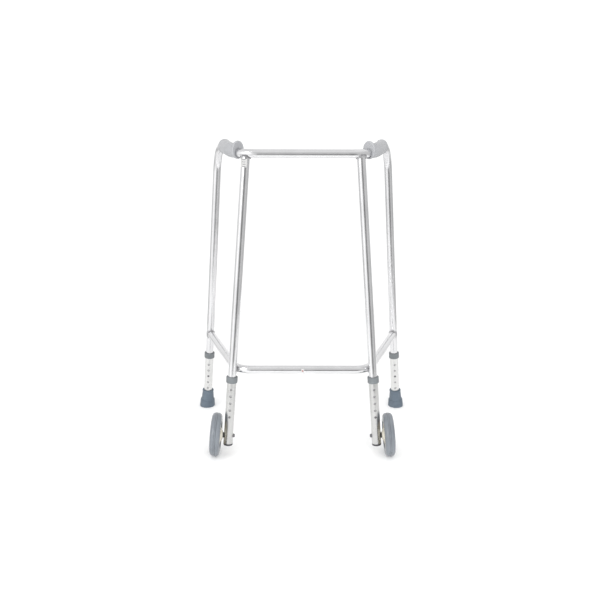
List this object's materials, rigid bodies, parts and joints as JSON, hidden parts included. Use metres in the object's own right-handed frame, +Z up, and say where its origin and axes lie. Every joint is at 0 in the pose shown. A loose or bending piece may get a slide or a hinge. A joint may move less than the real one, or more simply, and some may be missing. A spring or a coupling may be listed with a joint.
{
  "type": "walking frame",
  "caption": "Rigid welded aluminium walking frame with moulded handgrips, telescopic leg ends with snap buttons, front wheels and rear rubber ferrules.",
  "frame": {"origin": "middle of the footprint, on the floor", "axes": "+Z up; -Y forwards, where the wheels lead; +X towards the user's left"},
  "size_m": [0.6424, 0.4347, 0.8542],
  "materials": {
    "frame_aluminium": "satin anodised drawn tube",
    "sleeve_aluminium": "satin anodised drawn tube",
    "weld_aluminium": "as-welded ripple",
    "grip_vinyl": "soft satin vinyl",
    "collar_plastic": "moulded, fine grain",
    "cap_plastic": "moulded",
    "button_steel": "darkened",
    "spring_steel": "blue spring temper",
    "wheel_tyre": "smooth grey solid tyre",
    "wheel_hub": "cream moulding",
    "axle_steel": "zinc plated",
    "washer_plastic": "black nylon",
    "nut_plastic": "dark capped nut",
    "ferrule_rubber": "blue-grey moulded rubber",
    "label_vinyl": "blank white film"
  },
  "bodies": {
    "frame": {"top_tube": "frame_aluminium", "lower_brace": "frame_aluminium", "weld_beads": "weld_aluminium", "leg_label": "label_vinyl", "brace_label": "label_vinyl", "left_front_leg_tube": "frame_aluminium", "left_handgrip": "grip_vinyl", "left_front_spring_clip": "spring_steel", "left_rear_spring_clip": "spring_steel", "right_front_leg_tube": "frame_aluminium", "right_handgrip": "grip_vinyl", "right_front_spring_clip": "spring_steel", "right_rear_spring_clip": "spring_steel"},
    "left_front_leg_end": {"left_front_sleeve": "sleeve_aluminium", "left_front_collar": "collar_plastic", "left_end_cap": "cap_plastic", "left_axle_sleeve": "axle_steel", "left_axle_washers": "washer_plastic", "left_axle_bolt": "axle_steel", "left_dome_nut": "nut_plastic"},
    "left_wheel": {"left_tyre": "wheel_tyre", "left_hub": "wheel_hub"},
    "left_rear_leg_end": {"left_rear_sleeve": "sleeve_aluminium", "left_rear_collar": "collar_plastic", "left_ferrule": "ferrule_rubber", "left_ferrule_washer": "axle_steel"},
    "left_front_button": {"left_front_snap_button": "button_steel"},
    "left_rear_button": {"left_rear_snap_button": "button_steel"},
    "right_front_leg_end": {"right_front_sleeve": "sleeve_aluminium", "right_front_collar": "collar_plastic", "right_end_cap": "cap_plastic", "right_axle_sleeve": "axle_steel", "right_axle_washers": "washer_plastic", "right_axle_bolt": "axle_steel", "right_dome_nut": "nut_plastic"},
    "right_wheel": {"right_tyre": "wheel_tyre", "right_hub": "wheel_hub"},
    "right_rear_leg_end": {"right_rear_sleeve": "sleeve_aluminium", "right_rear_collar": "collar_plastic", "right_ferrule": "ferrule_rubber", "right_ferrule_washer": "axle_steel"},
    "right_front_button": {"right_front_snap_button": "button_steel"},
    "right_rear_button": {"right_rear_snap_button": "button_steel"}
  },
  "joints": [
    {"name": "left_front_leg_slide", "type": "slide", "parent": "frame", "child": "left_front_leg_end", "axis": [0.0744, -0.0255, -0.9969], "range_m": [0, 0.08], "deforming": ["left_front_snap_button", "left_front_spring_clip"]},
    {"name": "left_wheel_spin", "type": "hinge", "parent": "left_front_leg_end", "child": "left_wheel", "pos_m": [0.20321, -0.15723, 0.05745], "axis": [0.9972, 0, 0.0744], "continuous": true},
    {"name": "left_rear_leg_slide", "type": "slide", "parent": "frame", "child": "left_rear_leg_end", "axis": [0.072, 0.1003, -0.9923], "range_m": [-0.04, 0.04], "deforming": ["left_rear_snap_button", "left_rear_spring_clip"]},
    {"name": "left_front_button_press", "type": "slide", "parent": "frame", "child": "left_front_button", "axis": [0.0019, 0.9997, -0.0254], "range_m": [0, 0.004], "stiffness_N_per_m": 2000, "deforming": ["left_front_spring_clip"]},
    {"name": "left_rear_button_press", "type": "slide", "parent": "frame", "child": "left_rear_button", "axis": [-0.0073, 0.995, 0.1001], "range_m": [0, 0.004], "stiffness_N_per_m": 2000, "deforming": ["left_rear_spring_clip"]},
    {"name": "right_front_leg_slide", "type": "slide", "parent": "frame", "child": "right_front_leg_end", "axis": [-0.0744, -0.0255, -0.9969], "range_m": [0, 0.08], "deforming": ["right_front_snap_button", "right_front_spring_clip"]},
    {"name": "right_wheel_spin", "type": "hinge", "parent": "right_front_leg_end", "child": "right_wheel", "pos_m": [-0.20321, -0.15723, 0.05745], "axis": [-0.9972, 0, 0.0744], "continuous": true},
    {"name": "right_rear_leg_slide", "type": "slide", "parent": "frame", "child": "right_rear_leg_end", "axis": [-0.072, 0.1003, -0.9923], "range_m": [-0.04, 0.04], "deforming": ["right_rear_snap_button", "right_rear_spring_clip"]},
    {"name": "right_front_button_press", "type": "slide", "parent": "frame", "child": "right_front_button", "axis": [-0.0019, 0.9997, -0.0254], "range_m": [0, 0.004], "stiffness_N_per_m": 2000, "deforming": ["right_front_spring_clip"]},
    {"name": "right_rear_button_press", "type": "slide", "parent": "frame", "child": "right_rear_button", "axis": [0.0073, 0.995, 0.1001], "range_m": [0, 0.004], "stiffness_N_per_m": 2000, "deforming": ["right_rear_spring_clip"]}
  ]
}
